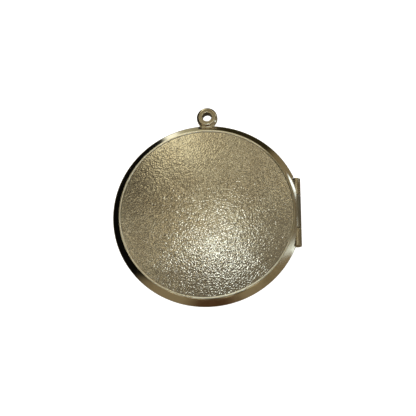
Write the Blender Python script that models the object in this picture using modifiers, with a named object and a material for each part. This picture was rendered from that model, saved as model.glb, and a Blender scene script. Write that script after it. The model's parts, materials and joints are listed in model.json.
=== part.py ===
"""A round two-part locket, closed, lying on its front, in metres with +Z up.

The origin is the centre of the flat face it rests on. The back is up, the bail is at +Y and the hinge at +X.
Heights in the profiles are counted outward from the parting plane, where the two halves meet.
"""

import math

import bpy
from mathutils import Vector

MM = 0.001
ROUND = 64          # steps round the large rings
ROUND_INNER = 48    # steps round the pieces inside and the medallion
ROUND_SMALL = 32    # steps round the hinge pieces

# Driving sizes of the outside.
RIM_RADIUS = 19.0 * MM
PANEL_RADIUS = 17.22 * MM
DOME_HEIGHT = 2.85 * MM         # of a panel's middle above the parting plane
PANEL_EDGE_HEIGHT = 1.21 * MM
SHEET = 0.45 * MM               # thickness of the pressed panels
REST_HEIGHT = 3.20 * MM         # of the parting plane above the resting face
FACE_GAP = 0.03 * MM            # from each half's mating face to the parting plane
SEAM = 0.05 * MM                # between pieces that are fixed to each other
BEAD_INNER_RADIUS = 17.27 * MM
BEAD_TOP = 1.305 * MM
BEVEL = (                       # the rim's outer slope, as (radius, height), from the bead down
    (17.60 * MM, 1.250 * MM),
    (17.95 * MM, 1.080 * MM),
    (18.42 * MM, 0.780 * MM),
    (18.78 * MM, 0.450 * MM),
    (18.95 * MM, 0.220 * MM),
    (RIM_RADIUS, 0.110 * MM),
)

# The hinge.
HINGE_X = 17.95 * MM
HINGE_HEIGHT = -0.10 * MM       # of the axis above the parting plane
BARREL_RADIUS = 0.87 * MM
BARREL_LENGTH = 14.10 * MM
MIDDLE_LENGTH = 6.80 * MM
KNUCKLE_GAP = 0.08 * MM
BARREL_CLEARANCE = 0.08 * MM
PIN_RADIUS = 0.33 * MM
PIN_CLEARANCE = 0.04 * MM
NOTCH_LOW_Y = -7.20 * MM
NOTCH_HIGH_Y = 7.40 * MM
NOTCH_REACH = 3.0 * MM          # of the notch outward from the axis, and up and down

# The bail.
BAIL_Y = 20.65 * MM
BAIL_HEIGHT = 0.35 * MM         # of its middle above the parting plane
BAIL_RADIUS = 2.13 * MM
BAIL_HOLE_RADIUS = 0.94 * MM
BAIL_THICKNESS = 1.76 * MM
BAIL_OUTER_EDGE = 0.42 * MM     # rounding of its outer edges
BAIL_HOLE_EDGE = 0.10 * MM      # rounding round its hole
BAIL_FOOT_WIDTH = 3.10 * MM
BAIL_FOOT_THICKNESS = 1.20 * MM
BAIL_FOOT_LOW_Y = 18.40 * MM
BAIL_FOOT_HIGH_Y = 19.50 * MM
BAIL_FOOT_EDGE = 0.30 * MM
BAIL_COPE_RADIUS = 16.0 * MM    # how far in and out the coping reaches
BAIL_COPE_HEIGHT = 2.2 * MM
BAIL_CLEARANCE = 0.12 * MM      # to the front half, which moves past it

# The inside.
LEDGE_RADIUS = 16.75 * MM
RECESS_RADIUS = 18.30 * MM
RECESS_DEPTH = 0.50 * MM
LIP_OUTER_RADIUS = 16.57 * MM
LIP_INNER_RADIUS = 16.17 * MM
LIP_LENGTH = 0.50 * MM
LIP_GROOVE = 0.06 * MM          # depth of the waist behind the lip's snap bead
FRONT_BEZEL_RADIUS = 16.68 * MM
FRAME_OPENING_RADIUS = 14.30 * MM
FRAME_RADIUS = 16.08 * MM
FRAME_FACE = 0.10 * MM
FRAME_THICKNESS = 0.30 * MM
FRAME_WALL = 0.38 * MM
FRAME_STEP = 0.12 * MM          # size of its chamfers
BACK_FRAME_FOOT = 0.85 * MM     # height of its foot
FRONT_FRAME_FOOT = 0.80 * MM
WINDOW_RADIUS = 15.60 * MM
WINDOW_THICKNESS = 0.20 * MM
INSERT_THICKNESS = 0.12 * MM
LAYER_GAP = 0.05 * MM
MEDALLION_RADIUS = 7.0 * MM
MEDALLION_BORDER = 0.95 * MM
MEDALLION_GROOVE = 0.16 * MM
MEDALLION_EDGE = 0.18 * MM

BACK = 1            # the upper half
FRONT = -1          # the lower half

PARTING = Vector((0, 0, REST_HEIGHT))
HINGE = Vector((HINGE_X, 0, REST_HEIGHT + HINGE_HEIGHT))

POLISHED = ((0.50, 0.41, 0.26), 0.12, 1.0)
PEBBLED = ((0.36, 0.31, 0.21), 0.34, 1.0)
INNER = ((0.55, 0.45, 0.28), 0.18, 1.0)
ACETATE = ((0.92, 0.93, 0.92), 0.06, 0.0)
PAPER = ((0.86, 0.82, 0.74), 0.75, 0.0)


def clear_scene():
    for old in list(bpy.data.objects):
        bpy.data.objects.remove(old, do_unlink=True)


def make_collection(name):
    collection = bpy.data.collections.new(name)
    bpy.context.scene.collection.children.link(collection)
    return collection


def make_material(name, finish):
    colour, roughness, metallic = finish
    material = bpy.data.materials.new(name)
    material.use_nodes = True
    shader = material.node_tree.nodes["Principled BSDF"]
    shader.inputs["Base Color"].default_value = (*colour, 1)
    shader.inputs["Roughness"].default_value = roughness
    shader.inputs["Metallic"].default_value = metallic
    return material


def add_part(obj, finish, body, place):
    """Puts a part in its collection, in its half and at its place in the world."""
    locket.objects.link(obj)
    obj.data.materials.clear()
    obj.data.materials.append(make_material(obj.name + "_finish", finish))
    if body is not None:
        obj.parent = body
        place = place - body.location
    obj.location = place
    obj.data.shade_smooth()
    obj.data.set_sharp_from_angle(angle=math.radians(35))
    return obj


def add_cutter(obj, place):
    cutters.objects.link(obj)
    obj.location = place
    obj.hide_render = True
    obj.display_type = "WIRE"
    return obj


def turned(name, profile, steps, closed=True):
    """A profile of (radius, height) turned about Z; its outer side runs from top to bottom."""
    points = [(radius, 0, height) for radius, height in profile]
    edges = [(i, i + 1) for i in range(len(points) - 1)]
    if closed:
        edges.append((len(points) - 1, 0))
    mesh = bpy.data.meshes.new(name)
    mesh.from_pydata(points, edges, [])
    obj = bpy.data.objects.new(name, mesh)
    screw = obj.modifiers.new("turn", "SCREW")
    screw.steps = steps
    screw.render_steps = steps
    screw.use_merge_vertices = True
    screw.merge_threshold = 1e-6
    screw.use_smooth_shade = True
    return obj


def on_side(profile, side):
    """The profile as it stands for the back half, or turned over for the front half."""
    if side == BACK:
        return profile
    return [(radius, -height) for radius, height in reversed(profile)]


def from_primitive(name, add, **options):
    """A mesh primitive as an object that is in no collection yet."""
    add(**options)
    obj = bpy.context.object
    obj.name = name
    for collection in list(obj.users_collection):
        collection.objects.unlink(obj)
    return obj


def box(name, size):
    obj = from_primitive(name, bpy.ops.mesh.primitive_cube_add, size=1)
    for vertex in obj.data.vertices:
        vertex.co = Vector(a * b for a, b in zip(vertex.co, size))
    return obj


def cut(obj, cutter):
    boolean = obj.modifiers.new("cut_" + cutter.name, "BOOLEAN")
    boolean.operation = "DIFFERENCE"
    boolean.object = cutter


def join(obj, other):
    boolean = obj.modifiers.new("join_" + other.name, "BOOLEAN")
    boolean.operation = "UNION"
    boolean.object = other


def along_y(obj):
    obj.rotation_euler = (-math.pi / 2, 0, 0)
    return obj


def dome_height(radius):
    """The outer surface of a panel, a shallow parabola."""
    return DOME_HEIGHT - (DOME_HEIGHT - PANEL_EDGE_HEIGHT) * (radius / PANEL_RADIUS) ** 2


def hinge_cutters():
    """The barrel's round space and the chord outside it, as one pair for all the rings."""
    length = NOTCH_HIGH_Y - NOTCH_LOW_Y
    middle_y = (NOTCH_HIGH_Y + NOTCH_LOW_Y) / 2
    round_space = from_primitive(
        "barrel_space",
        bpy.ops.mesh.primitive_cylinder_add,
        vertices=ROUND_SMALL,
        radius=BARREL_RADIUS + BARREL_CLEARANCE,
        depth=length,
    )
    along_y(add_cutter(round_space, HINGE + Vector((0, middle_y, 0))))
    chord = box("chord_space", (NOTCH_REACH, length, 2 * NOTCH_REACH))
    add_cutter(chord, Vector((HINGE_X + (NOTCH_REACH - SEAM) / 2, middle_y, REST_HEIGHT)))
    return round_space, chord


def rim_profile():
    """The polished bevelled rim with its bright edge bead and the ledge that the panel sits on."""
    bead_outer = BEVEL[0][0]
    width = bead_outer - BEAD_INNER_RADIUS
    ledge_height = PANEL_EDGE_HEIGHT - SHEET - SEAM
    return [
        (BEAD_INNER_RADIUS, BEVEL[0][1]),
        (BEAD_INNER_RADIUS + width * 0.25, BEAD_TOP - 0.01 * MM),
        (BEAD_INNER_RADIUS + width * 0.60, BEAD_TOP),
        *BEVEL,
        (RIM_RADIUS - FACE_GAP, FACE_GAP),
        (RECESS_RADIUS, FACE_GAP),
        (RECESS_RADIUS, RECESS_DEPTH),
        (LEDGE_RADIUS, RECESS_DEPTH),
        (LEDGE_RADIUS, ledge_height),
        (BEAD_INNER_RADIUS, ledge_height),
    ]


def make_rim(name, side, body, spaces):
    rim = turned(name, on_side(rim_profile(), side), ROUND)
    for space in spaces:
        cut(rim, space)
    return add_part(rim, POLISHED, body, PARTING)


def make_panel(name, side, body):
    """The domed sheet in the rim."""
    outer = [PANEL_RADIUS * i / 6 for i in range(7)]
    inner = [PANEL_RADIUS * i / 4 for i in reversed(range(5))]
    profile = [(radius, dome_height(radius)) for radius in outer]
    profile += [(radius, dome_height(radius) - SHEET) for radius in inner]
    panel = turned(name, on_side(profile, side), ROUND, closed=False)
    return add_part(panel, PEBBLED, body, PARTING)


def make_back_bezel(body, spaces):
    """The flat inner ring of the back half, with the lip that snaps into the front half."""
    height = RECESS_DEPTH - SEAM
    bezel = turned(
        "back_bezel",
        [
            (RECESS_RADIUS - SEAM, height),
            (RECESS_RADIUS - SEAM, FACE_GAP),
            (LIP_OUTER_RADIUS, FACE_GAP),
            (LIP_OUTER_RADIUS - LIP_GROOVE, -LIP_LENGTH * 0.40),
            (LIP_OUTER_RADIUS, -LIP_LENGTH * 0.72),
            (LIP_OUTER_RADIUS - LIP_GROOVE, -LIP_LENGTH),
            (LIP_INNER_RADIUS, -LIP_LENGTH),
            (LIP_INNER_RADIUS, height),
        ],
        ROUND,
    )
    for space in spaces:
        cut(bezel, space)
    return add_part(bezel, INNER, body, PARTING)


def make_front_bezel(spaces):
    """The flat inner ring of the front half, which the lip snaps into."""
    profile = [
        (RECESS_RADIUS - SEAM, RECESS_DEPTH - SEAM),
        (RECESS_RADIUS - SEAM, FACE_GAP),
        (FRONT_BEZEL_RADIUS + 0.10 * MM, FACE_GAP),
        (FRONT_BEZEL_RADIUS, 0.14 * MM),
        (FRONT_BEZEL_RADIUS, RECESS_DEPTH - SEAM),
    ]
    bezel = turned("front_bezel", on_side(profile, FRONT), ROUND)
    for space in spaces:
        cut(bezel, space)
    return add_part(bezel, INNER, None, PARTING)


def frame_profile(foot_radius, foot_height):
    """A picture frame: its face, its wall, and the foot that it is pressed in by."""
    face_top = FRAME_FACE + FRAME_THICKNESS
    return [
        (foot_radius, foot_height),
        (foot_radius, foot_height - 2 * FRAME_STEP),
        (FRAME_RADIUS, foot_height - 2 * FRAME_STEP),
        (FRAME_RADIUS, FRAME_FACE + FRAME_STEP),
        (FRAME_RADIUS - FRAME_STEP, FRAME_FACE),
        (FRAME_OPENING_RADIUS + 2 * FRAME_STEP, FRAME_FACE),
        (FRAME_OPENING_RADIUS, FRAME_FACE + FRAME_STEP),
        (FRAME_OPENING_RADIUS, face_top),
        (FRAME_RADIUS - FRAME_WALL, face_top),
        (FRAME_RADIUS - FRAME_WALL, foot_height),
    ]


def make_picture(half, side, body, foot_radius, foot_height):
    """The picture frame of one half, its clear window and the paper behind it."""
    profile = on_side(frame_profile(foot_radius, foot_height), side)
    add_part(turned(half + "_photo_frame", profile, ROUND_INNER), INNER, body, PARTING)
    height = FRAME_FACE + FRAME_THICKNESS
    layers = (
        ("_window", WINDOW_THICKNESS, ACETATE),
        ("_insert", INSERT_THICKNESS, PAPER),
    )
    for name, thickness, finish in layers:
        height += LAYER_GAP
        disc = from_primitive(
            half + name,
            bpy.ops.mesh.primitive_cylinder_add,
            vertices=ROUND_INNER,
            radius=WINDOW_RADIUS,
            depth=thickness,
        )
        add_part(disc, finish, body, PARTING + Vector((0, 0, side * (height + thickness / 2))))
        height += thickness


def make_medallion():
    """The plain round plate on the front, hollowed to the dome and flat where the locket rests."""
    under = [MEDALLION_RADIUS * i / 3 for i in reversed(range(4))]
    middle = MEDALLION_RADIUS - 2 * MEDALLION_BORDER
    border = MEDALLION_RADIUS - MEDALLION_BORDER
    profile = [
        (0, REST_HEIGHT),
        (middle, REST_HEIGHT),
        (middle + MEDALLION_GROOVE, REST_HEIGHT - MEDALLION_GROOVE),
        (border, REST_HEIGHT - MEDALLION_GROOVE),
        (border + MEDALLION_GROOVE, REST_HEIGHT),
        (MEDALLION_RADIUS - MEDALLION_EDGE, REST_HEIGHT),
        (MEDALLION_RADIUS, REST_HEIGHT - MEDALLION_EDGE),
    ]
    profile += [(radius, dome_height(radius) + SEAM) for radius in under]
    medallion = turned("front_medallion", on_side(profile, FRONT), ROUND_INNER, closed=False)
    return add_part(medallion, POLISHED, None, PARTING)


def make_knuckle(name, low_y, high_y, body):
    edge = 0.10 * MM
    bore = PIN_RADIUS + PIN_CLEARANCE
    half = (high_y - low_y) / 2
    knuckle = turned(
        name,
        [
            (bore, half),
            (BARREL_RADIUS - edge, half),
            (BARREL_RADIUS, half - edge),
            (BARREL_RADIUS, edge - half),
            (BARREL_RADIUS - edge, -half),
            (bore, -half),
        ],
        ROUND_SMALL,
    )
    along_y(add_part(knuckle, POLISHED, body, HINGE + Vector((0, (low_y + high_y) / 2, 0))))


def make_hinge(back_half):
    end = BARREL_LENGTH / 2
    middle = MIDDLE_LENGTH / 2
    make_knuckle("hinge_knuckle_middle", -middle, middle, back_half)
    make_knuckle("hinge_knuckle_upper", middle + KNUCKLE_GAP, end, None)
    make_knuckle("hinge_knuckle_lower", -end, -middle - KNUCKLE_GAP, None)
    head = 0.08 * MM
    pin = turned(
        "hinge_pin",
        [
            (0, end),
            (PIN_RADIUS - head, end),
            (PIN_RADIUS, end - head),
            (PIN_RADIUS, head - end),
            (PIN_RADIUS - head, -end),
            (0, -end),
        ],
        ROUND_SMALL // 2,
        closed=False,
    )
    along_y(add_part(pin, POLISHED, None, HINGE))


def bail_section(points):
    """The ring's section with rounded edges, its outer side first, from top to bottom."""
    half = BAIL_THICKNESS / 2
    corners = (
        (BAIL_RADIUS - BAIL_OUTER_EDGE, half - BAIL_OUTER_EDGE, BAIL_OUTER_EDGE, math.pi / 2),
        (BAIL_RADIUS - BAIL_OUTER_EDGE, BAIL_OUTER_EDGE - half, BAIL_OUTER_EDGE, 0),
        (BAIL_HOLE_RADIUS + BAIL_HOLE_EDGE, BAIL_HOLE_EDGE - half, BAIL_HOLE_EDGE, -math.pi / 2),
        (BAIL_HOLE_RADIUS + BAIL_HOLE_EDGE, half - BAIL_HOLE_EDGE, BAIL_HOLE_EDGE, -math.pi),
    )
    section = []
    for radius, height, edge, start in corners:
        for i in range(points + 1):
            angle = start - (math.pi / 2) * i / points
            section.append((radius + edge * math.cos(angle), height + edge * math.sin(angle)))
    return section


def make_bail(back_half):
    """The ring that a chain or jump ring goes through, coped to sit on the back rim."""
    middle = Vector((0, BAIL_Y, REST_HEIGHT + BAIL_HEIGHT))
    bail = turned("bail", bail_section(3), ROUND_SMALL)
    foot = box("bail_foot", (BAIL_FOOT_WIDTH, BAIL_FOOT_HIGH_Y - BAIL_FOOT_LOW_Y, BAIL_FOOT_THICKNESS))
    foot_y = (BAIL_FOOT_HIGH_Y + BAIL_FOOT_LOW_Y) / 2
    add_cutter(foot, Vector((0, foot_y, middle.z)))
    rounding = foot.modifiers.new("round", "BEVEL")
    rounding.width = BAIL_FOOT_EDGE
    rounding.segments = 3
    clearance = RIM_RADIUS + BAIL_CLEARANCE
    slope = [(radius + SEAM, height + SEAM) for radius, height in (*BEVEL[1:4], BEVEL[-1])]
    outline = [(BAIL_COPE_RADIUS, BAIL_COPE_HEIGHT), *slope]
    outline += [(clearance, -FACE_GAP), (clearance, -BAIL_COPE_HEIGHT), (BAIL_COPE_RADIUS, -BAIL_COPE_HEIGHT)]
    rim_space = turned("rim_space", outline, ROUND * 2)
    add_cutter(rim_space, PARTING)
    join(bail, foot)
    cut(bail, rim_space)
    return add_part(bail, POLISHED, back_half, middle)


clear_scene()
locket = make_collection("locket")
cutters = make_collection("cutters")

back_half = bpy.data.objects.new("back_half_hinge", None)
back_half.location = HINGE
back_half.empty_display_size = 3 * MM
locket.objects.link(back_half)

notch = hinge_cutters()
make_rim("back_rim", BACK, back_half, notch)
make_panel("back_panel", BACK, back_half)
make_back_bezel(back_half, notch)
make_picture("back", BACK, back_half, FRAME_RADIUS, BACK_FRAME_FOOT)
make_bail(back_half)
make_rim("front_rim", FRONT, None, notch)
make_panel("front_panel", FRONT, None)
make_front_bezel(notch)
make_picture("front", FRONT, None, LEDGE_RADIUS - SEAM, FRONT_FRAME_FOOT)
make_medallion()
make_hinge(back_half)
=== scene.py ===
"""The looks of a round hinged locket that lies closed on its front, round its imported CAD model, in metres."""

import json
import math

import bmesh
import bpy
import numpy as np
from mathutils import Matrix, Quaternion, Vector


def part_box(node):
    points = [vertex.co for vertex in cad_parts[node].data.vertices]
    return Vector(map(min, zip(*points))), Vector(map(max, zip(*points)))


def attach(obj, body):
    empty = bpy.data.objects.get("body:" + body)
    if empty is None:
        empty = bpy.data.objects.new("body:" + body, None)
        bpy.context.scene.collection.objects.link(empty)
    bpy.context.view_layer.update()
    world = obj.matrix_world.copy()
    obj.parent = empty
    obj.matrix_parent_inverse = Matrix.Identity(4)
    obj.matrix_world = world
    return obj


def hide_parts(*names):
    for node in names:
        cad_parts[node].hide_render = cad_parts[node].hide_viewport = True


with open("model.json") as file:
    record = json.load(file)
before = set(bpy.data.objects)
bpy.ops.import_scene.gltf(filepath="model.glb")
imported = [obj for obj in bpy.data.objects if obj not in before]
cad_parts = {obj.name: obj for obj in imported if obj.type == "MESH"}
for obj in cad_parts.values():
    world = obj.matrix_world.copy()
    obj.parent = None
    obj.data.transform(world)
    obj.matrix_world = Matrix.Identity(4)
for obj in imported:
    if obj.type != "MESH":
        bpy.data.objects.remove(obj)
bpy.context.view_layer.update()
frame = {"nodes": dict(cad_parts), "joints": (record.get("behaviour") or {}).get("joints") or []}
nodes = frame["nodes"]
hinge_joint = frame["joints"][0]

MM = 0.001

# Measures taken from the frame.
BACK_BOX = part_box("back_rim")
FRONT_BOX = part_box("front_rim")
RIM_RADIUS = -BACK_BOX[0].x
PARTING_Z = (BACK_BOX[0].z + FRONT_BOX[1].z) / 2
FACE_GAP = BACK_BOX[0].z - PARTING_Z
HINGE = Vector(hinge_joint["pos_m"])
PANEL_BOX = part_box("back_panel")
PANEL_RADIUS = PANEL_BOX[1].y
DOME_HEIGHT = PANEL_BOX[1].z - PARTING_Z
BARREL_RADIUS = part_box("hinge_knuckle_middle")[1].z - HINGE.z
BAIL_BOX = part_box("bail")
BAIL_RADIUS = (BAIL_BOX[1].x - BAIL_BOX[0].x) / 2
BAIL_MIDDLE = Vector((0, BAIL_BOX[1].y - BAIL_RADIUS, (BAIL_BOX[0].z + BAIL_BOX[1].z) / 2))
BAIL_THICKNESS = BAIL_BOX[1].z - BAIL_BOX[0].z
MEDALLION_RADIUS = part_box("front_medallion")[1].x

# Measures of the design that a box doesn't give. Heights are counted from the parting plane.
SHEET = 0.45 * MM
SEAM = 0.05 * MM
PANEL_EDGE_HEIGHT = 1.21 * MM
BEAD_INNER = 17.27 * MM
BEAD_OUTER = 17.60 * MM
BEAD_TOP = 1.305 * MM
BEVEL_TOP = 1.250 * MM
EDGE_HEIGHT = 0.11 * MM
LEDGE_RADIUS = 16.75 * MM
RECESS_RADIUS = 18.30 * MM
RECESS_DEPTH = 0.50 * MM
BEZEL_RADIUS = RECESS_RADIUS - SEAM
BEZEL_TOP = RECESS_DEPTH - SEAM
BEZEL_EDGE = 0.06 * MM
LIP_OUTER_RADIUS = 16.57 * MM
LIP_INNER_RADIUS = 16.17 * MM
LIP_LENGTH = 0.50 * MM
FRONT_BEZEL_RADIUS = 16.68 * MM
FRAME_RADIUS = 16.08 * MM
FRAME_OPENING_RADIUS = 14.30 * MM
FRAME_WALL = 0.38 * MM
FRAME_FACE = 0.10 * MM
FRAME_BACK = 0.40 * MM
FRAME_STEP = 0.12 * MM
NOTCH_LOW_Y = -7.20 * MM
NOTCH_HIGH_Y = 7.40 * MM
NOTCH_REACH = 3.0 * MM
NOTCH_OFFSET = 0.03 * MM
BARREL_CLEARANCE = 0.08 * MM
PIN_BORE = 0.37 * MM
PIN_DOME = 0.14 * MM
KNUCKLE_EDGE = 0.09 * MM
BAIL_HOLE_RADIUS = 0.94 * MM
BAIL_OUTER_ROUND = 0.52 * MM
BAIL_INNER_ROUND = 0.12 * MM
BAIL_SEAM = 0.04 * MM
BAIL_FOOT_INNER = 18.2 * MM
MEDALLION_BORDER = 0.95 * MM
MEDALLION_GROOVE = 0.16 * MM
MEDALLION_EDGE = 0.18 * MM
MILGRAIN_BEADS = 84
MILGRAIN_RADIUS = 0.175 * MM
PEBBLE_DEPTH = 0.049 * MM
PEBBLE_LEVEL = 0.65
PEBBLE_MARGIN = 0.30 * MM

BACK, FRONT = 1, -1
SIDES = {BACK: "back", FRONT: "front"}
BODY = {BACK: "back_half", FRONT: "front_half"}
ROUND = 288
UNDERSIDE_RINGS = 5


# ---------------------------------------------------------------- node helpers

class Graph:
    """A short way to write a node tree."""

    def __init__(self, tree):
        self.tree = tree

    def node(self, kind, inputs=None, **settings):
        made = self.tree.nodes.new(kind)
        for key, value in settings.items():
            setattr(made, key, value)
        for key, value in (inputs or {}).items():
            if isinstance(value, bpy.types.NodeSocket):
                self.tree.links.new(value, made.inputs[key])
            else:
                made.inputs[key].default_value = value
        return made

    def math(self, operation, a, b=0.0, c=0.0):
        return self.node("ShaderNodeMath", {0: a, 1: b, 2: c}, operation=operation).outputs[0]

    def noise(self, place, scale, **inputs):
        """A noise texture's value. Further inputs are named in lower case, such as detail."""
        values = {"Vector": place, "Scale": scale}
        values.update((name.capitalize(), value) for name, value in inputs.items())
        return self.node("ShaderNodeTexNoise", values).outputs[0]

    def ramp(self, factor, stops):
        made = self.node("ShaderNodeValToRGB", {"Fac": factor})
        elements = made.color_ramp.elements
        while len(elements) < len(stops):
            elements.new(0.5)
        for element, (position, colour) in zip(elements, stops):
            element.position = position
            element.color = (*colour, 1)
        return made.outputs["Color"]

    def mix(self, factor, a, b):
        made = self.node("ShaderNodeMix", data_type="RGBA")
        for key, value in ((0, factor), (6, a), (7, b)):
            if isinstance(value, bpy.types.NodeSocket):
                self.tree.links.new(value, made.inputs[key])
            else:
                made.inputs[key].default_value = value if key == 0 else (*value, 1)
        return made.outputs[2]

    def map_range(self, value, low, high, to_low=0.0, to_high=1.0):
        made = self.node(
            "ShaderNodeMapRange",
            {"Value": value, "From Min": low, "From Max": high, "To Min": to_low, "To Max": to_high},
            interpolation_type="SMOOTHSTEP",
        )
        return made.outputs[0]

    def link(self, value, socket):
        self.tree.links.new(value, socket)


def towards(azimuth, elevation):
    """The unit vector at these degrees, with the azimuth counted from +X towards +Y."""
    a, e = math.radians(azimuth), math.radians(elevation)
    return Vector((math.cos(a) * math.cos(e), math.sin(a) * math.cos(e), math.sin(e)))


def new_material(name):
    material = bpy.data.materials.new(name)
    material.use_nodes = True
    graph = Graph(material.node_tree)
    return material, graph, material.node_tree.nodes["Principled BSDF"]


# ---------------------------------------------------------------- materials

def gilt_material(name, colour, dark, roughness, scratches=0.25, patina=0.4, hinge_painted_shade=None):
    """Gold-tone plate: warm metal with faint hairlines, tiny pits and a little tarnish in soft patches.

    The colour hinge_painted_shade, if given, is painted shade that takes over towards the soldered hinge.
    """
    material, graph, shader = new_material(name)
    place = graph.node("ShaderNodeTexCoord").outputs["Object"]
    patches = graph.noise(place, 420.0, detail=5.0, roughness=0.6)
    smudge = graph.noise(place, 95.0, detail=3.0, roughness=0.55)
    tarnish = graph.map_range(graph.math("MULTIPLY", patches, smudge), 0.22, 0.40, 0.0, patina)
    base = graph.mix(tarnish, colour, dark)
    # Painted shade: darker towards the hinge.
    if hinge_painted_shade:
        hingeward = {0: place, 1: towards(14, 0)}
        reach = graph.node("ShaderNodeVectorMath", hingeward, operation="DOT_PRODUCT")
        near = graph.map_range(reach.outputs["Value"], BEAD_INNER * 0.76, BEAD_INNER * 0.92)
        base = graph.mix(near, base, hinge_painted_shade)
    graph.link(base, shader.inputs["Base Color"])
    hairs = 0.0
    for turn, scale in ((0.35, 2600.0), (-0.8, 3300.0)):
        stretch = {"Vector": place, "Rotation": (0.1, 0.2, turn), "Scale": (1.0, 0.045, 1.0)}
        mapping = graph.node("ShaderNodeMapping", stretch)
        hair = graph.noise(mapping.outputs[0], scale, detail=2.0)
        hairs = graph.math("ADD", hairs, graph.map_range(hair, 0.60, 0.72))
    pits = graph.node("ShaderNodeTexVoronoi", {"Vector": place, "Scale": 2400.0})
    pit = graph.map_range(pits.outputs["Distance"], 0.05, 0.22)
    rough = graph.math("MULTIPLY_ADD", smudge, 0.16, roughness - 0.06)
    rough = graph.math("MULTIPLY_ADD", hairs, 0.05, rough)
    graph.link(graph.math("MULTIPLY_ADD", tarnish, 0.18, rough), shader.inputs["Roughness"])
    height = graph.math("MULTIPLY_ADD", hairs, -0.5 * scratches, graph.math("MULTIPLY", pit, scratches))
    bump = graph.node("ShaderNodeBump", {"Height": height, "Strength": 0.10, "Distance": 0.00002})
    graph.link(bump.outputs[0], shader.inputs["Normal"])
    shader.inputs["Metallic"].default_value = 1.0
    return material


def pebbled_material(name):
    """The pebbled sheet under a thin dull film: polished tops, with painted shade making it darker and browner
    between them, and a fine grain.
    """
    material, graph, shader = new_material(name)
    place = graph.node("ShaderNodeTexCoord").outputs["Object"]
    relief = graph.node("ShaderNodeAttribute", attribute_name="relief").outputs["Fac"]
    broad = graph.noise(place, 150.0, detail=4.0, roughness=0.6)
    warm = graph.mix(graph.map_range(broad, 0.35, 0.65), (0.58, 0.51, 0.38), (0.66, 0.60, 0.46))
    # Painted shade: darker, browner colour where the relief is low, between the pebbles.
    base = graph.mix(graph.map_range(relief, 0.05, 0.60), (0.36, 0.30, 0.20), warm)
    graph.link(base, shader.inputs["Base Color"])
    rough = graph.map_range(relief, 0.1, 0.8, 0.15, 0.03)
    graph.link(graph.math("MULTIPLY_ADD", broad, 0.06, rough), shader.inputs["Roughness"])
    cells = graph.node("ShaderNodeTexVoronoi", {"Vector": place, "Scale": 6200.0}, feature="SMOOTH_F1")
    fine = graph.noise(place, 3400.0, detail=1.0)
    height = graph.math("MULTIPLY_ADD", cells.outputs["Distance"], -0.4, graph.math("MULTIPLY", fine, 2.6))
    bump = graph.node("ShaderNodeBump", {"Height": height, "Strength": 1.0, "Distance": 0.000014})
    graph.link(bump.outputs[0], shader.inputs["Normal"])
    shader.inputs["Metallic"].default_value = 0.93
    return material


def acetate_material():
    """Thin clear sheet with faint wipe marks."""
    material, graph, shader = new_material("clear_acetate")
    place = graph.node("ShaderNodeTexCoord").outputs["Object"]
    wipes = graph.noise(place, 260.0, detail=4.0)
    graph.link(graph.map_range(wipes, 0.4, 0.8, 0.03, 0.16), shader.inputs["Roughness"])
    graph.link(graph.mix(wipes, (0.96, 0.97, 0.95), (0.90, 0.91, 0.87)), shader.inputs["Base Color"])
    shader.inputs["IOR"].default_value = 1.47
    shader.inputs["Alpha"].default_value = 0.22
    return material


def paper_material():
    """Blank ivory card with visible fibres and faint yellowed blotches."""
    material, graph, shader = new_material("insert_paper")
    place = graph.node("ShaderNodeTexCoord").outputs["Object"]
    fibres = graph.noise(place, 1900.0, detail=6.0, roughness=0.7)
    blotch = graph.noise(place, 120.0, detail=2.0)
    base = graph.mix(graph.map_range(blotch, 0.3, 0.7), (0.80, 0.74, 0.61), (0.87, 0.83, 0.73))
    base = graph.mix(graph.map_range(fibres, 0.45, 0.62, 0.0, 0.35), base, (0.66, 0.59, 0.46))
    graph.link(base, shader.inputs["Base Color"])
    shader.inputs["Roughness"].default_value = 0.82
    bump = graph.node("ShaderNodeBump", {"Height": fibres, "Strength": 0.3, "Distance": 0.00004})
    graph.link(bump.outputs[0], shader.inputs["Normal"])
    return material


POLISHED = gilt_material("polished_gilt", (0.66, 0.58, 0.43), (0.36, 0.28, 0.16), 0.09)
# Painted highlight: a pale cream copy of the gilt on the bead stands in for the glint of light along it.
BEAD_PAINTED_HIGHLIGHT = gilt_material(
    "bead_gilt_painted_highlight", (0.97, 0.90, 0.72), (0.80, 0.70, 0.50), 0.27,
    # painted shade on the bead towards the hinge
    scratches=0.3, patina=0.1, hinge_painted_shade=(0.42, 0.36, 0.24),
)
# Painted shade: a darker, greyer copy of the gilt for the middle knuckle.
KNUCKLE_SHADED_GILT = gilt_material(
    "knuckle_shaded_gilt", (0.40, 0.36, 0.28), (0.20, 0.17, 0.11), 0.20, scratches=0.6, patina=0.6
)
HINGE_GILT = gilt_material(
    "hinge_gilt", (0.64, 0.56, 0.41), (0.30, 0.23, 0.13), 0.13, scratches=0.5, patina=0.6
)
BAIL_GILT = gilt_material(
    "bail_gilt", (0.62, 0.54, 0.39), (0.34, 0.26, 0.15), 0.13, scratches=0.3, patina=0.35
)
# Painted shade: a near-black copy of the gilt for the wall of the bail's hole, where shade falls.
BORE_PAINTED_SHADE = gilt_material(
    "bore_painted_shade", (0.07, 0.05, 0.03), (0.03, 0.02, 0.01), 0.30, scratches=0.6, patina=0.8
)
INNER_GILT = gilt_material("inner_gilt", (0.72, 0.60, 0.38), (0.40, 0.29, 0.15), 0.20, scratches=0.4)
PIN_BRASS = gilt_material("pin_brass", (0.60, 0.48, 0.28), (0.24, 0.17, 0.08), 0.24, patina=0.7)
PEBBLED = pebbled_material("pebbled_gilt")
ACETATE = acetate_material()
PAPER = paper_material()


# ---------------------------------------------------------------- mesh helpers

def add_object(name, mesh):
    obj = bpy.data.objects.new(name, mesh)
    bpy.context.scene.collection.objects.link(obj)
    return obj


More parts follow.
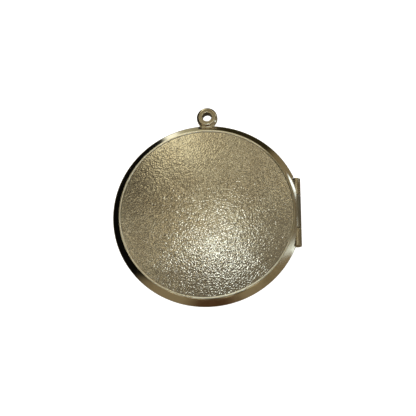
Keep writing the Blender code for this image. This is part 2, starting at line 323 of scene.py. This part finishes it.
def finish_piece(obj, node, body, material, smooth_angle=40):
    """Gives a finished piece its material and body, and hides the CAD part that it replaces."""
    obj.data.materials.clear()
    obj.data.materials.append(material)
    obj.data.shade_smooth()
    obj.data.set_sharp_from_angle(angle=math.radians(smooth_angle))
    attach(obj, body)
    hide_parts(node)


def paint_faces(obj, material, chosen):
    """A second material on the faces whose centre chosen(centre) picks out."""
    obj.data.materials.append(material)
    for face in obj.data.polygons:
        if chosen(face.center):
            face.material_index = 1


def baked(obj):
    """The object with its modifiers applied to its mesh."""
    bpy.context.view_layer.update()
    graph = bpy.context.evaluated_depsgraph_get()
    mesh = bpy.data.meshes.new_from_object(obj.evaluated_get(graph))
    obj.modifiers.clear()
    obj.data = mesh
    return obj


def placed(obj, matrix):
    """The mesh moved into the row frame, with the object left at the origin."""
    obj.data.transform(matrix)
    if matrix.determinant() < 0:
        obj.data.flip_normals()
    obj.data.update()
    return obj


def mesh_data(mesh, name):
    """A bmesh written to a new mesh, and freed."""
    data = bpy.data.meshes.new(name)
    mesh.to_mesh(data)
    mesh.free()
    return data


def turned_mesh(name, profile, steps=ROUND, closed=True):
    """A profile of (radius, height) turned about Z. Unless it is closed, both its ends are on the axis."""
    mesh = bmesh.new()
    points = [mesh.verts.new((radius, 0, height)) for radius, height in profile]
    ends = list(zip(points, points[1:] + points[:1])) if closed else list(zip(points, points[1:]))
    edges = [mesh.edges.new(pair) for pair in ends]
    bmesh.ops.spin(
        mesh, geom=points + edges, cent=(0, 0, 0), axis=(0, 0, 1),
        angle=2 * math.pi, steps=steps, use_merge=True,
    )
    bmesh.ops.remove_doubles(mesh, verts=mesh.verts, dist=1e-7)
    bmesh.ops.recalc_face_normals(mesh, faces=mesh.faces)
    return mesh_data(mesh, name)


def box_mesh(name, low, high):
    mesh = bmesh.new()
    bmesh.ops.create_cube(mesh, size=1)
    size = Vector(high) - Vector(low)
    middle = (Vector(high) + Vector(low)) / 2
    for vert in mesh.verts:
        vert.co = Vector(a * b for a, b in zip(vert.co, size)) + middle
    return mesh_data(mesh, name)


def bezier(points, count):
    """Points along a cubic curve, both ends included."""
    a, b, c, d = points
    curve = []
    for i in range(count + 1):
        t = i / count
        u = 1 - t
        weights = (u * u * u, 3 * u * u * t, 3 * u * t * t, t * t * t)
        curve.append(tuple(sum(w * p[k] for w, p in zip(weights, (a, b, c, d))) for k in (0, 1)))
    return curve


def half_matrix(side):
    """From heights counted outward from the parting plane to the row frame."""
    return Matrix.Translation((0, 0, PARTING_Z)) @ Matrix.Scale(side, 4, (0, 0, 1))


def along_y(place):
    """Lays a piece that was turned about Z along Y, at this place."""
    return Matrix.Translation(place) @ Matrix.Rotation(-math.pi / 2, 4, "X")


def cut_with(obj, cutters):
    for cutter in cutters:
        boolean = obj.modifiers.new("cut", "BOOLEAN")
        boolean.operation = "DIFFERENCE"
        boolean.solver = "EXACT"
        boolean.object = cutter
    return baked(obj)


def remove_cutters(cutters):
    for cutter in cutters:
        bpy.data.objects.remove(cutter)


def dome_height(radius):
    """The dome's outer surface, counted from the parting plane."""
    drop = DOME_HEIGHT - PANEL_EDGE_HEIGHT
    return DOME_HEIGHT - drop * (radius / PANEL_RADIUS) ** 2


# ---------------------------------------------------------------- rims and bezels

def notch_cutters():
    """The barrel's round space and the chord outside it, in the row frame."""
    radius = BARREL_RADIUS + BARREL_CLEARANCE
    length = NOTCH_HIGH_Y - NOTCH_LOW_Y
    middle = (NOTCH_HIGH_Y + NOTCH_LOW_Y) / 2
    profile = [(0, length / 2), (radius, length / 2), (radius, -length / 2), (0, -length / 2)]
    space = add_object("notch_round", turned_mesh("notch_round", profile, 64, closed=False))
    placed(space, along_y(HINGE + Vector((0, middle, 0))))
    low = (HINGE.x - NOTCH_OFFSET, NOTCH_LOW_Y, PARTING_Z - NOTCH_REACH)
    high = (HINGE.x + NOTCH_REACH, NOTCH_HIGH_Y, PARTING_Z + NOTCH_REACH)
    chord = add_object("notch_chord", box_mesh("notch_chord", low, high))
    return [space, chord]


def bead_profile():
    """The round bead beside the panel, as drops in millimetres below its top by share of its width."""
    width = BEAD_OUTER - BEAD_INNER
    drops = (
        (0.16, 0.022), (0.36, 0.008), (0.48, 0.0), (0.56, 0.001), (0.72, 0.007), (1.14, 0.026), (1.22, 0.036),
    )
    foot = [(BEAD_INNER, PANEL_EDGE_HEIGHT), (BEAD_INNER + width * 0.06, PANEL_EDGE_HEIGHT + 0.045 * MM)]
    return foot + [(BEAD_INNER + width * share, BEAD_TOP - drop * MM) for share, drop in drops]


def bevel_profile():
    """The bulging bevel from the bead, whose last point it leaves out, to the rim's edge."""
    ends = [bead_profile()[-1], (18.28 * MM, 0.965 * MM), (18.86 * MM, 0.500 * MM), (RIM_RADIUS, EDGE_HEIGHT)]
    return bezier(ends, 20)[1:]


def rim_profile():
    """The rim's section: the bead, the bevel, the edge, the bezel's recess and the panel's ledge."""
    ledge = PANEL_EDGE_HEIGHT - SHEET - SEAM
    inside = [
        (RIM_RADIUS - 0.01 * MM, 0.055 * MM),
        (RIM_RADIUS - 0.03 * MM, FACE_GAP),
        (RECESS_RADIUS, FACE_GAP),
        (RECESS_RADIUS, RECESS_DEPTH),
        (LEDGE_RADIUS, RECESS_DEPTH),
        (LEDGE_RADIUS, ledge),
        (BEAD_INNER, ledge),
    ]
    return bead_profile() + bevel_profile() + inside


def on_bead(centre):
    """Whether a rim's face at this centre is on top of its bead."""
    inner = BEAD_INNER + 0.01 * MM
    above = abs(centre.z - PARTING_Z) > PANEL_EDGE_HEIGHT
    return inner < math.hypot(centre.x, centre.y) < BEAD_OUTER and above


def make_rim(side, cutters):
    node = SIDES[side] + "_rim"
    rim = add_object(node + "_polished", turned_mesh(node, rim_profile()))
    placed(rim, half_matrix(side))
    cut_with(rim, cutters)
    finish_piece(rim, node, BODY[side], POLISHED)
    # Painted highlight: the bead's faces get the pale cream copy of the gilt.
    paint_faces(rim, BEAD_PAINTED_HIGHLIGHT, on_bead)


def back_bezel_profile():
    """The back ring and its lip, which has a waist and a rounded end to snap into the front ring."""
    outer, edge = LIP_OUTER_RADIUS, BEZEL_EDGE
    ring = [
        (BEZEL_RADIUS, BEZEL_TOP),
        (BEZEL_RADIUS, FACE_GAP + edge / 2),
        (BEZEL_RADIUS - edge / 2, FACE_GAP),
        (outer + edge, FACE_GAP),
        (outer, FACE_GAP - edge),
    ]
    waist = [
        (outer - edge, -0.14 * MM),
        (outer - edge, -0.26 * MM),
        (outer, -0.28 * MM),
        (outer, -0.36 * MM),
    ]
    end = [
        (outer, -0.40 * MM),
        (outer - edge / 2, -0.46 * MM),
        (outer - edge, -LIP_LENGTH),
        (outer - 2 * edge, -LIP_LENGTH),
    ]
    inside = [
        (LIP_INNER_RADIUS + edge, -LIP_LENGTH),
        (LIP_INNER_RADIUS, edge - LIP_LENGTH),
        (LIP_INNER_RADIUS, BEZEL_TOP),
    ]
    return ring + bezier(waist, 5) + bezier(end, 4) + inside


def front_bezel_profile():
    """The front ring, whose bore the lip enters."""
    inner, edge = FRONT_BEZEL_RADIUS, BEZEL_EDGE
    return [
        (BEZEL_RADIUS, BEZEL_TOP),
        (BEZEL_RADIUS, FACE_GAP + edge / 2),
        (BEZEL_RADIUS - edge / 2, FACE_GAP),
        (inner + 2 * edge, FACE_GAP),
        (inner + edge / 2, FACE_GAP + edge / 2),
        (inner, FACE_GAP + 2 * edge),
        (inner, BEZEL_TOP),
    ]


def make_bezels(cutters):
    for side, profile in ((BACK, back_bezel_profile()), (FRONT, front_bezel_profile())):
        node = SIDES[side] + "_bezel"
        bezel = add_object(node + "_fine", turned_mesh(node, profile))
        placed(bezel, half_matrix(side))
        cut_with(bezel, cutters)
        finish_piece(bezel, node, BODY[side], INNER_GILT)


# ---------------------------------------------------------------- pebbled panels

def disc_points(count, radius):
    """A square grid mapped to a disc so that its cells stay nearly even: (x, y) arrays."""
    line = np.linspace(-1, 1, count)
    a, b = np.meshgrid(line, line, indexing="ij")
    with np.errstate(divide="ignore", invalid="ignore"):
        wide = np.abs(a) > np.abs(b)
        r = np.where(wide, a, b)
        ratio = np.where(wide, b / a, a / b)
        ratio = np.nan_to_num(ratio)
        angle = np.where(wide, np.pi / 4 * ratio, np.pi / 2 - np.pi / 4 * ratio)
    return radius * r * np.cos(angle), radius * r * np.sin(angle)


def banded_noise(x, y, wavelength, seed):
    """Smooth noise of about one wavelength, about zero with a spread of 1, read at the points (x, y)."""
    step = wavelength / 9
    count = int(2.1 * PANEL_RADIUS / step) + 4
    rng = np.random.default_rng(seed)
    wave = np.hypot(*np.meshgrid(np.fft.fftfreq(count), np.fft.rfftfreq(count), indexing="ij"))
    target = step / wavelength
    band = np.exp(-(((wave - target) / (0.30 * target)) ** 2))
    grid = np.fft.irfft2(np.fft.rfft2(rng.standard_normal((count, count))) * band, s=(count, count))
    grid /= grid.std()
    fx, fy = x / step + count / 2, y / step + count / 2
    i, j = np.floor(fx).astype(int), np.floor(fy).astype(int)
    tx, ty = fx - i, fy - j
    low = grid[i, j] * (1 - tx) + grid[i + 1, j] * tx
    high = grid[i, j + 1] * (1 - tx) + grid[i + 1, j + 1] * tx
    return low * (1 - ty) + high * ty


def pebbles(x, y, seed):
    """The relief of the pressed texture, about 0 to 1: worm-like pebbles, larger towards the middle."""
    coarse = banded_noise(x, y, 0.74 * MM, seed + 1)
    fine = banded_noise(x, y, 0.47 * MM, seed + 2)
    radius = np.hypot(x, y) / PANEL_RADIUS
    share = np.clip(1.25 - 1.2 * radius + 0.12 * banded_noise(x, y, 5.0 * MM, seed + 3), 0, 1)
    blobs = coarse * np.sqrt(share) + fine * np.sqrt(1 - share)
    relief = 1 - np.exp(-((blobs**2 + 0.03) ** 0.5) / 0.75)
    return np.clip(relief + 0.05 * banded_noise(x, y, 0.36 * MM, seed + 4), 0, 1)


def panel_mesh(name, count, seed):
    """A closed sheet: its pebbled top, level at the margin, its edge, and a smooth underside in rings."""
    x, y = disc_points(count, PANEL_RADIUS)
    radius = np.hypot(x, y)
    edge = np.clip((PANEL_RADIUS - radius) / PEBBLE_MARGIN, 0, 1)
    relief = pebbles(x, y, seed) * edge + PEBBLE_LEVEL * (1 - edge)
    top = dome_height(radius) + PEBBLE_DEPTH * (relief - PEBBLE_LEVEL)
    surface = np.stack([x, y, top], -1).reshape(-1, 3)
    index = np.arange(count * count).reshape(count, count)
    quads = np.stack([index[:-1, :-1], index[1:, :-1], index[1:, 1:], index[:-1, 1:]], -1)
    outline = np.concatenate([index[:-1, 0], index[-1, :-1], index[:0:-1, -1], index[0, :0:-1]])
    points = [surface]
    faces = quads.reshape(-1, 4).tolist()
    above = outline
    for k in range(UNDERSIDE_RINGS):
        below = sum(len(level) for level in points) + np.arange(len(outline))
        ring = surface[outline].copy()
        ring[:, :2] *= 1 - k / UNDERSIDE_RINGS
        ring[:, 2] = dome_height(np.hypot(ring[:, 0], ring[:, 1])) - SHEET
        points.append(ring)
        faces += np.stack([above, np.roll(above, -1), np.roll(below, -1), below], -1).tolist()
        above = below
    centre = sum(len(level) for level in points)
    points = np.concatenate(points + [[[0, 0, DOME_HEIGHT - SHEET]]])
    faces += [(a, b, centre) for a, b in zip(above.tolist(), np.roll(above, -1).tolist())]
    mesh = bpy.data.meshes.new(name)
    mesh.from_pydata(points.tolist(), [], faces)
    values = np.full(len(points), 0.5, np.float32)
    values[: count * count] = relief.reshape(-1)
    mesh.attributes.new("relief", "FLOAT", "POINT").data.foreach_set("value", values)
    return mesh


def make_panel(side, count, seed):
    """The domed sheet with its pressed pebbles, on a grid of count by count points."""
    node = SIDES[side] + "_panel"
    panel = add_object(node + "_pebbled", panel_mesh(node, count, seed))
    placed(panel, half_matrix(side))
    mesh = bmesh.new()
    mesh.from_mesh(panel.data)
    bmesh.ops.recalc_face_normals(mesh, faces=mesh.faces)
    mesh.to_mesh(panel.data)
    mesh.free()
    finish_piece(panel, node, BODY[side], PEBBLED, smooth_angle=60)


# ---------------------------------------------------------------- hinge

def make_knuckle(node, body, material):
    low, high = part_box(node)
    half = (high.y - low.y) / 2
    edge = KNUCKLE_EDGE
    turns = [k * math.pi / 10 for k in range(6)]
    profile = [(PIN_BORE, half - edge / 2), (PIN_BORE + edge / 2, half)]
    profile += [
        (BARREL_RADIUS - edge * (1 - math.sin(a)), half - edge * (1 - math.cos(a))) for a in turns
    ]
    profile += [
        (BARREL_RADIUS - edge * (1 - math.cos(a)), -half + edge * (1 - math.sin(a))) for a in turns
    ]
    profile += [(PIN_BORE + edge / 2, -half), (PIN_BORE, edge / 2 - half)]
    knuckle = add_object(node + "_fine", turned_mesh(node, profile, 72))
    placed(knuckle, along_y(Vector((HINGE.x, (low.y + high.y) / 2, HINGE.z))))
    finish_piece(knuckle, node, body, material)


def make_pin():
    """The hinge pin, with a low dome on each end."""
    low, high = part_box("hinge_pin")
    half = (high.y - low.y) / 2
    radius = (high.z - low.z) / 2
    turns = [k * math.pi / 12 for k in range(7)]
    profile = [(radius * math.sin(a), half - PIN_DOME * (1 - math.cos(a))) for a in turns]
    profile += [(radius * math.cos(a), PIN_DOME - half - PIN_DOME * math.sin(a)) for a in turns]
    profile[0] = (0, half)
    profile[-1] = (0, -half)
    pin = add_object("hinge_pin_fine", turned_mesh("hinge_pin", profile, 40, closed=False))
    placed(pin, along_y(HINGE))
    finish_piece(pin, "hinge_pin", "front_half", PIN_BRASS)


# ---------------------------------------------------------------- bail

def bail_section():
    """The ring's section, a slab with well rounded outer corners and a small edge round the hole."""
    outer, inner = BAIL_OUTER_ROUND, BAIL_INNER_ROUND
    half = BAIL_THICKNESS / 2
    corners = (
        (BAIL_RADIUS - outer, half - outer, outer, 90),
        (BAIL_RADIUS - outer, outer - half, outer, 0),
        (BAIL_HOLE_RADIUS + inner, inner - half, inner, -90),
        (BAIL_HOLE_RADIUS + inner, half - inner, inner, -180),
    )
    section = []
    for radius, height, edge, start in corners:
        for k in range(9):
            angle = math.radians(start - 90 * k / 8)
            section.append((radius + edge * math.cos(angle), height + edge * math.sin(angle)))
    return section


def bail_block(name, half_width, reach, below, above):
    """A block of the bail's foot, from inside the rim out to reach. All measures are in millimetres."""
    low = (-half_width * MM, BAIL_FOOT_INNER, BAIL_MIDDLE.z - below * MM)
    high = (half_width * MM, reach * MM, BAIL_MIDDLE.z + above * MM)
    return add_object(name, box_mesh(name, low, high))


def rim_space():
    """The space that the back rim fills, grown by a seam, for coping the bail to it."""
    inner, outer = 16.0 * MM, RIM_RADIUS + 0.12 * MM
    top, bottom = 2.2 * MM, -2.0 * MM
    bevel = [(radius + BAIL_SEAM, height + BAIL_SEAM) for radius, height in bevel_profile()]
    outline = [(inner, top), (BEAD_OUTER, BEVEL_TOP + 0.3 * MM)] + bevel
    outline += [(outer, -FACE_GAP), (outer, bottom), (inner, bottom)]
    space = add_object("rim_space", turned_mesh("rim_space", outline, ROUND))
    return placed(space, half_matrix(BACK))


def in_bore(centre):
    """Whether a face of the bail at this centre is on the wall of its hole."""
    return math.hypot(centre.x, centre.y - BAIL_MIDDLE.y) < BAIL_HOLE_RADIUS + 0.03 * MM


def make_bail():
    """A cast ring on a short flared foot, blended into one form and coped to the rim."""
    ring = add_object("bail_cast", turned_mesh("bail", bail_section(), 128))
    placed(ring, Matrix.Translation(BAIL_MIDDLE))
    foot = bail_block("bail_foot", 1.15, 19.40, 0.55, 0.62)
    flare = bail_block("bail_flare", 1.55, 18.98, 0.50, 0.42)
    for piece in (foot, flare):
        union = ring.modifiers.new("union", "BOOLEAN")
        union.operation = "UNION"
        union.object = piece
    remesh = ring.modifiers.new("remesh", "REMESH")
    remesh.mode = "VOXEL"
    remesh.voxel_size = 0.04 * MM
    smooth = ring.modifiers.new("smooth", "SMOOTH")
    smooth.factor = 0.5
    smooth.iterations = 10
    baked(ring)
    space = rim_space()
    cut_with(ring, [space])
    remove_cutters([foot, flare, space])
    finish_piece(ring, "bail", "back_half", BAIL_GILT, smooth_angle=50)
    # Painted shade: the wall of the hole gets the near-black material.
    paint_faces(ring, BORE_PAINTED_SHADE, in_bore)


# ---------------------------------------------------------------- inside and front

def make_photo_frame(side):
    """A pressed ring: a foot at the bezel, a wall, and a face with two raised lines round the picture."""
    node = SIDES[side] + "_photo_frame"
    low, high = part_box(node)
    foot_radius = high.x
    foot = (high.z if side == BACK else -low.z) - side * PARTING_Z
    wall, opening, face, step = FRAME_RADIUS, FRAME_OPENING_RADIUS, FRAME_FACE, FRAME_STEP
    outer_round = [(wall, face + step), (wall, face + step / 3), (wall - step / 2, face), (wall - step, face)]
    inner_round = [
        (opening + 4 * step, face),
        (opening + 2 * step, face),
        (opening, face + step),
        (opening, face + 2 * step),
    ]
    profile = [(foot_radius, foot), (foot_radius, foot - 2 * step), (wall, foot - 2 * step)]
    profile += bezier(outer_round, 4)
    middle = (wall + opening) / 2
    for share, lift in ((0.30, 0.0), (0.24, 0.035), (0.18, 0.0), (0.12, 0.035), (0.06, 0.0)):
        profile.append((middle + (wall - opening) * share, face + lift * MM))
    profile += bezier(inner_round, 6)
    profile += [(opening, FRAME_BACK), (wall - FRAME_WALL, FRAME_BACK), (wall - FRAME_WALL, foot)]
    piece = add_object(node + "_fine", turned_mesh(node, profile, 192))
    placed(piece, half_matrix(side))
    finish_piece(piece, node, BODY[side], INNER_GILT, smooth_angle=30)


def make_medallion():
    """The plain plate on the front: a flat polished middle, a groove and a rounded border."""
    top, outer = PARTING_Z, MEDALLION_RADIUS
    border, groove, edge = MEDALLION_BORDER, MEDALLION_GROOVE, MEDALLION_EDGE
    profile = [(0, top), (outer - 2 * border, top), (outer - 2 * border + groove, top - groove)]
    profile += [(outer - border, top - groove), (outer - border + groove, top), (outer - edge, top)]
    profile += [(outer - edge * 0.3, top - edge * 0.3), (outer, top - edge)]
    profile += [(outer * k / 8, dome_height(outer * k / 8) + SEAM) for k in reversed(range(9))]
    plate = add_object("front_medallion_fine", turned_mesh("front_medallion", profile, 144, closed=False))
    placed(plate, half_matrix(FRONT))
    finish_piece(plate, "front_medallion", "front_half", POLISHED, smooth_angle=30)


def make_milgrain():
    """The ring of small beads in the medallion's groove."""
    radius = MEDALLION_RADIUS - 1.45 * MEDALLION_BORDER
    height = MEDALLION_GROOVE + 0.01 * MM
    mesh = bmesh.new()
    for k in range(MILGRAIN_BEADS):
        angle = 2 * math.pi * k / MILGRAIN_BEADS
        where = Matrix.Translation((radius * math.cos(angle), radius * math.sin(angle), height))
        bmesh.ops.create_uvsphere(mesh, u_segments=14, v_segments=8, radius=MILGRAIN_RADIUS, matrix=where)
    milgrain = add_object("front_medallion_milgrain", mesh_data(mesh, "milgrain"))
    milgrain.data.materials.append(POLISHED)
    milgrain.data.shade_smooth()
    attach(milgrain, "front_half")


# ---------------------------------------------------------------- stage

def make_floor():
    """A white floor just under the locket, kept out of the metal's reflections."""
    floor = add_object("floor", box_mesh("floor", (-0.6, -0.6, -0.004), (0.6, 0.6, -0.00002)))
    material, _, shader = new_material("floor_white")
    shader.inputs["Base Color"].default_value = (0.5, 0.5, 0.5, 1)
    shader.inputs["Roughness"].default_value = 0.9
    shader.inputs["Emission Color"].default_value = (1, 1, 1, 1)
    shader.inputs["Emission Strength"].default_value = 0.98
    floor.data.materials.append(material)
    floor.visible_glossy = False


def set_camera():
    """A long lens 190 mm above the locket, a little towards its lower edge, turned so that the bail is up."""
    azimuth, elevation, roll = math.radians(12.9), math.radians(71.43), math.radians(-13.4)
    aim = Vector((0.21 * MM, 1.25 * MM, PARTING_Z))
    distance = 190.34 * MM
    flat = math.cos(elevation)
    away = Vector((math.sin(azimuth) * flat, -math.cos(azimuth) * flat, math.sin(elevation)))
    data = bpy.data.cameras.new("camera")
    data.lens = 81.93
    data.sensor_width = 36
    data.clip_start = 0.005
    camera = bpy.data.objects.new("camera", data)
    camera.rotation_mode = "QUATERNION"
    camera.rotation_quaternion = away.to_track_quat("Z", "Y") @ Quaternion((0, 0, 1), roll)
    camera.location = aim + away * distance
    bpy.context.scene.collection.objects.link(camera)
    bpy.context.scene.camera = camera


BLACK = (0.004, 0.004, 0.004)
KHAKI = (0.29, 0.245, 0.165)
MAROON = (0.10, 0.055, 0.03)
OLIVE = (0.03, 0.026, 0.012)
COOL_WHITE = (1.6, 1.9, 2.2)
CREAM = (1.55, 1.65, 1.60)
BROWN = (0.035, 0.03, 0.02)

# The surroundings that the metal mirrors, as colours by azimuth in degrees: first round the horizon, which
# the bevels show, and then overhead, which the dome shows.
LOW_BAND = (
    (-178, BLACK), (-155, BLACK), (-142, KHAKI), (-115, KHAKI), (-100, MAROON), (-78, MAROON),
    (-62, KHAKI), (-14, KHAKI), (-11.5, COOL_WHITE), (-6.5, COOL_WHITE), (-3.5, (0.30, 0.27, 0.20)),
    (19, (0.15, 0.13, 0.10)), (30, (0.20, 0.17, 0.11)), (46, KHAKI), (57, (0.23, 0.19, 0.12)),
    (62, OLIVE), (88, OLIVE), (96, (0.26, 0.24, 0.17)), (101, (0.48, 0.48, 0.36)),
    (106.5, (0.60, 0.60, 0.45)), (108.5, CREAM), (112.5, CREAM), (115, BLACK), (178, BLACK),
)
HIGH_BAND = (
    (-178, (0.20, 0.17, 0.11)), (-165, (0.16, 0.135, 0.09)), (-120, (0.13, 0.11, 0.07)),
    (-30, (0.16, 0.135, 0.09)), (30, (0.19, 0.16, 0.105)), (90, (0.30, 0.26, 0.17)),
    (140, (0.40, 0.345, 0.23)), (178, (0.20, 0.17, 0.11)),
)

# Round soft lamps, the faint ones being dark patches, each laid over those before it: azimuth, elevation,
# radius and softness in degrees, strength, tint.
LAMPS = (
    (-77, 70, 14, 7, 0.12, (1.0, 0.9, 0.7)),
    (-140, 77, 5, 6, 0.11, (1.0, 0.9, 0.7)),
    (110, 44, 4, 7, 1.4, (1.0, 0.95, 0.70)),
    (84, 34, 4, 8, 0.8, (1.0, 0.94, 0.72)),
    (30, 76, 10, 8, 0.20, (1.0, 0.92, 0.72)),
    (84, 76, 5, 6, 0.95, (1.0, 0.98, 0.80)),
    (96, 85, 2.0, 2.6, 6.0, (0.84, 1.0, 1.20)),
    (109, 20, 4, 6, 1.6, (1.0, 1.06, 1.02)),
    (35.5, 17, 5.5, 3, 2.6, (0.82, 0.98, 1.15)),
)


def set_world():
    """Soft light from above and bands round the horizon, for the metal to mirror. The camera sees white."""
    world = bpy.data.worlds.new("studio")
    bpy.context.scene.world = world
    world.use_nodes = True
    graph = Graph(world.node_tree)
    background = world.node_tree.nodes["Background"]
    direction = graph.node("ShaderNodeTexCoord").outputs["Generated"]
    x, y, z = graph.node("ShaderNodeSeparateXYZ", {0: direction}).outputs
    turn = graph.math("MULTIPLY_ADD", graph.math("ARCTAN2", y, x), 1 / (2 * math.pi), 0.5)
    elevation = graph.math("DIVIDE", graph.math("ARCSINE", z), math.pi / 2)

    def band(stops):
        return graph.ramp(turn, sorted((((degrees + 180) % 360) / 360, colour) for degrees, colour in stops))

    low_band = band(LOW_BAND)
    high_band = band(HIGH_BAND)
    blotches = graph.noise(direction, 6.0, detail=1.5)
    shade = graph.map_range(blotches, 0.40, 0.49, 0.95, 0.0)
    shine = graph.map_range(blotches, 0.52, 0.60, 0.0, 0.95)
    high_band = graph.mix(shade, high_band, BROWN)
    warmth = graph.map_range(graph.noise(direction, 15.0), 0.42, 0.58)
    high_band = graph.mix(shine, high_band, graph.mix(warmth, (1.30, 1.12, 0.70), (1.05, 1.10, 1.05)))
    colour = graph.mix(graph.map_range(elevation, 0.46, 0.58), low_band, high_band)
    for azimuth, height, radius, softness, strength, tint in LAMPS:
        middle = {0: direction, 1: towards(azimuth, height)}
        near = graph.node("ShaderNodeVectorMath", middle, operation="DOT_PRODUCT")
        edge = math.cos(math.radians(radius + softness))
        glow = graph.map_range(near.outputs["Value"], edge, math.cos(math.radians(radius)))
        colour = graph.mix(glow, colour, tuple(strength * part for part in tint))
    colour = graph.mix(graph.map_range(elevation, -0.38, -0.24), (0.24, 0.21, 0.15), colour)
    seen = graph.node("ShaderNodeLightPath").outputs["Is Camera Ray"]
    graph.link(graph.mix(seen, colour, (1, 1, 1)), background.inputs["Color"])
    background.inputs["Strength"].default_value = 1.0


def set_fill_light():
    """A broad soft light for the paper inside, kept out of the metal's reflections."""
    data = bpy.data.lights.new("fill", "AREA")
    data.shape = "DISK"
    data.size = 0.30
    data.energy = 1.0
    light = bpy.data.objects.new("fill", data)
    light.location = (-0.04, -0.06, 0.40)
    light.rotation_euler = Vector(light.location).to_track_quat("Z", "Y").to_euler()
    light.visible_glossy = False
    bpy.context.scene.collection.objects.link(light)


notches = notch_cutters()
make_rim(BACK, notches)
make_rim(FRONT, notches)
make_bezels(notches)
remove_cutters(notches)
make_panel(BACK, 300, 11)
make_panel(FRONT, 240, 47)
# The middle knuckle gets the darker copy of the gilt, as painted shade.
make_knuckle("hinge_knuckle_middle", "back_half", KNUCKLE_SHADED_GILT)
make_knuckle("hinge_knuckle_upper", "front_half", HINGE_GILT)
make_knuckle("hinge_knuckle_lower", "front_half", HINGE_GILT)
make_pin()
make_bail()
make_photo_frame(BACK)
make_photo_frame(FRONT)
make_medallion()
make_milgrain()
for side in (BACK, FRONT):
    for kept, finish in (("_window", ACETATE), ("_insert", PAPER)):
        materials = nodes[SIDES[side] + kept].data.materials
        materials.clear()
        materials.append(finish)
make_floor()
set_camera()
set_world()
set_fill_light()
bpy.context.scene.view_settings.view_transform = "Standard"
